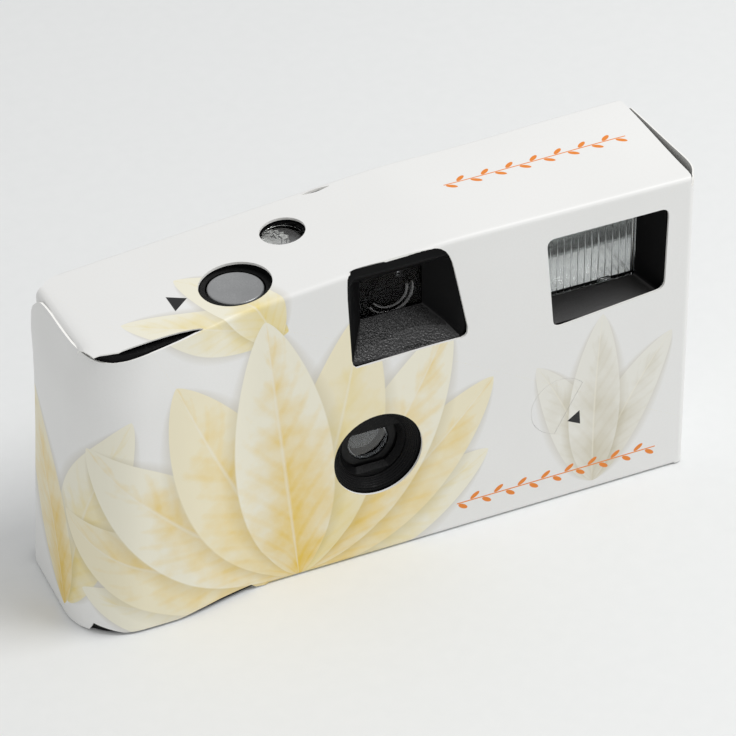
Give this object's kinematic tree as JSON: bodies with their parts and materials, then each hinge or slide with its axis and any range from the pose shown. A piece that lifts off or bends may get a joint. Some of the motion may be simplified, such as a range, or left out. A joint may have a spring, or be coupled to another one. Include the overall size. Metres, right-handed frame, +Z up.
{
  "type": "disposable film camera",
  "caption": "Single-use film camera with flash in a folded card sleeve, with a thumbwheel advance, shutter button, finder hood, lens well, ribbed flash window and film cassette inside.",
  "frame": {"origin": "under the middle of the bounding box, on the base plane", "axes": "+X towards the flash end (right as seen from the front), front faces -Y, +Z up"},
  "size_m": [0.13, 0.0346, 0.068],
  "materials": {
    "card": "satin print",
    "case_black": "fine textured",
    "frame_black": "plain moulded",
    "button_grey": "satin",
    "clear_plastic": "polished",
    "white_plastic": "satin",
    "blade_steel": "blackened",
    "spring_steel": "drawn wire",
    "contact_brass": "rolled strip",
    "cassette_metal": "printed",
    "film_base": "glossy",
    "reflector_bright": "bright",
    "tube_glass": "clear",
    "board": "satin",
    "part_wound": "varnished",
    "part_black": "satin",
    "can": "sleeved",
    "lamp": "frosted"
  },
  "bodies": {
    "camera": {"card_sleeve": "card", "front_cover": "case_black", "rear_cover": "case_black", "film_door": "case_black", "lens_ring": "case_black", "chassis": "frame_black", "lens_board": "frame_black", "taking_lens": "clear_plastic", "finder_lens": "clear_plastic", "eyepiece": "clear_plastic", "counter_lens": "clear_plastic", "flash_lens": "clear_plastic", "light_pipe": "clear_plastic", "blade_spring": "spring_steel", "striker_spring": "spring_steel", "tube_leads": "spring_steel", "battery_plus": "spring_steel", "battery_minus": "spring_steel", "charge_switch": "contact_brass", "sync_contact": "contact_brass", "cassette_shell": "cassette_metal", "cassette_caps": "cassette_metal", "film_strip": "film_base", "reflector": "reflector_bright", "flash_tube": "tube_glass", "circuit_board": "board", "transformer": "part_wound", "trigger_coil": "part_wound", "transistor": "part_black", "capacitor": "can", "battery": "can", "ready_lamp": "lamp"},
    "advance": {"thumbwheel": "case_black", "cassette_spool": "frame_black"},
    "sprocket": {"sprocket": "white_plastic"},
    "supply": {"supply_spool": "frame_black", "film_roll": "film_base"},
    "counter": {"counter_dial": "white_plastic"},
    "button": {"shutter_button": "case_black", "button_cap": "button_grey"},
    "release": {"release_lever": "frame_black"},
    "striker": {"striker_lever": "frame_black"},
    "blade": {"shutter_blade": "blade_steel"},
    "charge": {"flash_button": "case_black"},
    "tab": {"flash_tab": "card"}
  },
  "joints": [
    {"name": "film_advance", "type": "hinge", "parent": "camera", "child": "advance", "pos_m": [-0.043, 0.0015, 0.0457], "axis": [0, 0, 1], "continuous": true, "deforming": ["film_strip"]},
    {"name": "sprocket_turn", "type": "hinge", "parent": "camera", "child": "sprocket", "pos_m": [-0.02397, 0.00713, 0.038], "axis": [0, 0, 1], "continuous": true},
    {"name": "supply_turn", "type": "hinge", "parent": "camera", "child": "supply", "pos_m": [0.045, 0.00453, 0.0236], "axis": [0, 0, 1], "continuous": true},
    {"name": "counter_turn", "type": "hinge", "parent": "camera", "child": "counter", "pos_m": [-0.0163, 0.0056, 0.06058], "axis": [0, 0, 1], "continuous": true},
    {"name": "shutter_press", "type": "slide", "parent": "camera", "child": "button", "axis": [0, 0, -1], "range_m": [0, 0.0016], "stiffness_N_per_m": 500},
    {"name": "release_swing", "type": "hinge", "parent": "camera", "child": "release", "pos_m": [-0.0205, -0.0068, 0.046], "axis": [0, -1, 0], "range_deg": [0, 15.2]},
    {"name": "striker_swing", "type": "hinge", "parent": "camera", "child": "striker", "pos_m": [-0.0206, -0.0055, 0.0366], "axis": [0, 1, 0], "range_deg": [0, 25], "stiffness_Nm_per_rad": 0.0005},
    {"name": "blade_swing", "type": "hinge", "parent": "camera", "child": "blade", "pos_m": [-0.0116, -0.0044, 0.0326], "axis": [0, 1, 0], "range_deg": [0, 29], "stiffness_Nm_per_rad": 0.004},
    {"name": "charge_press", "type": "slide", "parent": "camera", "child": "charge", "axis": [0, 1, 0], "range_m": [0, 0.001], "stiffness_N_per_m": 400},
    {"name": "tab_bend", "type": "hinge", "parent": "camera", "child": "tab", "pos_m": [0.03836, -0.014, 0.02175], "axis": [-0.4924, 0, -0.8704], "range_deg": [0, 9.4]}
  ],
  "couplings": [
    {"joint": "sprocket_turn", "follows": "film_advance", "ratio": 0.94248},
    {"joint": "supply_turn", "follows": "film_advance", "ratio": 0.68675},
    {"joint": "counter_turn", "follows": "film_advance", "ratio": -0.02618},
    {"joint": "release_swing", "follows": "shutter_press", "rad_per_m": 163.93},
    {"joint": "blade_swing", "follows": "striker_swing", "ratio": 1.15},
    {"joint": "tab_bend", "follows": "charge_press", "rad_per_m": 161.29}
  ]
}
